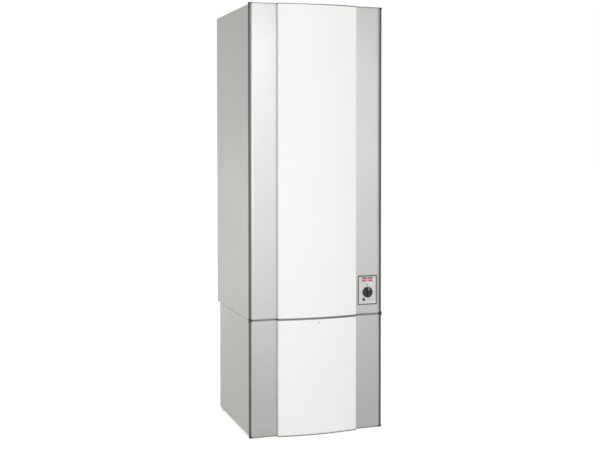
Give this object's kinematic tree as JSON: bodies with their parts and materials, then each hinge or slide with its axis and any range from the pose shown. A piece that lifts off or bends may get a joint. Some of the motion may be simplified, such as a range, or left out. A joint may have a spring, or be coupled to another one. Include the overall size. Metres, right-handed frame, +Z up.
{
  "type": "electric water heater",
  "caption": "Tall floor-standing cabinet water heater with a bowed white front between silver strips, a knob panel, and a lift-off lower front over its pipes.",
  "frame": {"origin": "centre of the bounding box at floor level, under the feet", "axes": "+Z up; the bowed front faces -Y and the wall is at +Y; +X to the right as seen from the front"},
  "size_m": [0.599, 0.6184, 1.82],
  "materials": {
    "white_enamel": "satin",
    "silver_paint": "satin",
    "trim_grey": "satin",
    "cap_black": "satin",
    "zinc_sheet": "satin",
    "frame_steel": "satin",
    "foam": "matte",
    "tank_enamel": "gloss",
    "machined_steel": "satin",
    "rubber_black": "matte",
    "element_metal": "satin",
    "magnesium": "satin",
    "copper": "satin",
    "brass": "satin",
    "black_plastic": "satin",
    "grey_plastic": "satin",
    "cable_sheath": "matte",
    "fascia_grey": "satin",
    "display_lens": "gloss",
    "knob_charcoal": "satin",
    "lever_red": "satin"
  },
  "bodies": {
    "cabinet": {"upper_white_panel": "white_enamel", "upper_left_strip": "silver_paint", "upper_right_strip": "silver_paint", "upper_trims": "trim_grey", "upper_corner_caps": "cap_black", "inner_front_panel": "zinc_sheet", "upper_left_side_panel": "silver_paint", "upper_right_side_panel": "silver_paint", "top_panel": "silver_paint", "back_panel": "zinc_sheet", "base_plate": "zinc_sheet", "insulation_foam": "foam", "tank_shell": "tank_enamel", "element_flange": "machined_steel", "flange_gasket": "rubber_black", "flange_bolts": "machined_steel", "heating_elements": "element_metal", "anode_rod": "magnesium", "cold_inlet_tube": "copper", "hot_standpipe": "copper", "terminal_cover": "black_plastic", "control_cables": "cable_sheath", "junction_box": "grey_plastic", "cable_gland": "black_plastic", "control_frame": "trim_grey", "control_fascia": "fascia_grey", "display_window": "display_lens", "thermostat_body": "grey_plastic", "reset_switch": "grey_plastic", "control_housing": "grey_plastic", "lower_left_side_panel": "silver_paint", "lower_right_side_panel": "silver_paint", "support_legs": "frame_steel", "frame_rails": "frame_steel", "catch_clips": "black_plastic", "wall_bracket": "zinc_sheet", "wall_spacers": "rubber_black", "safety_valve_body": "brass", "discharge_pipe": "copper", "cold_valve_body": "brass", "drain_tee": "brass", "cold_supply_pipe": "copper", "hot_valve_body": "brass", "hot_outlet_pipe": "copper"},
    "knob": {"thermostat_knob": "knob_charcoal"},
    "button": {"reset_button": "knob_charcoal"},
    "cold_lever": {"cold_valve_lever": "lever_red"},
    "hot_lever": {"hot_valve_lever": "lever_red"},
    "relief_knob": {"safety_knob": "lever_red"},
    "drain_key": {"drain_handle": "black_plastic"},
    "front_cover": {"lower_white_panel": "white_enamel", "lower_strips": "silver_paint", "lower_trims": "trim_grey", "lower_corner_caps": "cap_black", "cover_carrier": "frame_steel"},
    "screw": {"cover_screw": "machined_steel"},
    "front_left_foot": {"foot_front_left": "black_plastic"},
    "front_right_foot": {"foot_front_right": "black_plastic"},
    "rear_left_foot": {"foot_rear_left": "black_plastic"},
    "rear_right_foot": {"foot_rear_right": "black_plastic"}
  },
  "joints": [
    {"name": "thermostat_turn", "type": "hinge", "parent": "cabinet", "child": "knob", "pos_m": [0.2315, -0.27855, 0.594], "axis": [0, 1, 0], "range_deg": [-135, 135]},
    {"name": "reset_push", "type": "slide", "parent": "cabinet", "child": "button", "axis": [0, 1, 0], "range_m": [0, 0.002], "stiffness_N_per_m": 300, "springref_m": -0.003},
    {"name": "cold_valve_turn", "type": "hinge", "parent": "cabinet", "child": "cold_lever", "pos_m": [-0.125, 0.00625, 0.355], "axis": [0, -1, 0], "range_deg": [0, 90]},
    {"name": "hot_valve_turn", "type": "hinge", "parent": "cabinet", "child": "hot_lever", "pos_m": [0.125, 0.00625, 0.425], "axis": [0, 1, 0], "range_deg": [0, 90]},
    {"name": "relief_turn", "type": "hinge", "parent": "cabinet", "child": "relief_knob", "pos_m": [-0.125, -0.03375, 0.425], "axis": [0, 1, 0], "range_deg": [0, 90]},
    {"name": "drain_turn", "type": "hinge", "parent": "cabinet", "child": "drain_key", "pos_m": [-0.125, -0.04575, 0.254], "axis": [0, 1, 0], "range_deg": [0, 90]},
    {"name": "cover_pull", "type": "slide", "parent": "cabinet", "child": "front_cover", "axis": [0, -1, 0], "range_m": [0, 0.15]},
    {"name": "cover_screw_turn", "type": "hinge", "parent": "front_cover", "child": "screw", "pos_m": [0, -0.27775, 0.481], "axis": [0, 1, 0], "continuous": true},
    {"name": "front_left_foot_screw", "type": "slide", "parent": "cabinet", "child": "front_left_foot", "axis": [0, 0, -1], "range_m": [0, 0.02]},
    {"name": "front_right_foot_screw", "type": "slide", "parent": "cabinet", "child": "front_right_foot", "axis": [0, 0, -1], "range_m": [0, 0.02]},
    {"name": "rear_left_foot_screw", "type": "slide", "parent": "cabinet", "child": "rear_left_foot", "axis": [0, 0, -1], "range_m": [0, 0.02]},
    {"name": "rear_right_foot_screw", "type": "slide", "parent": "cabinet", "child": "rear_right_foot", "axis": [0, 0, -1], "range_m": [0, 0.02]}
  ]
}
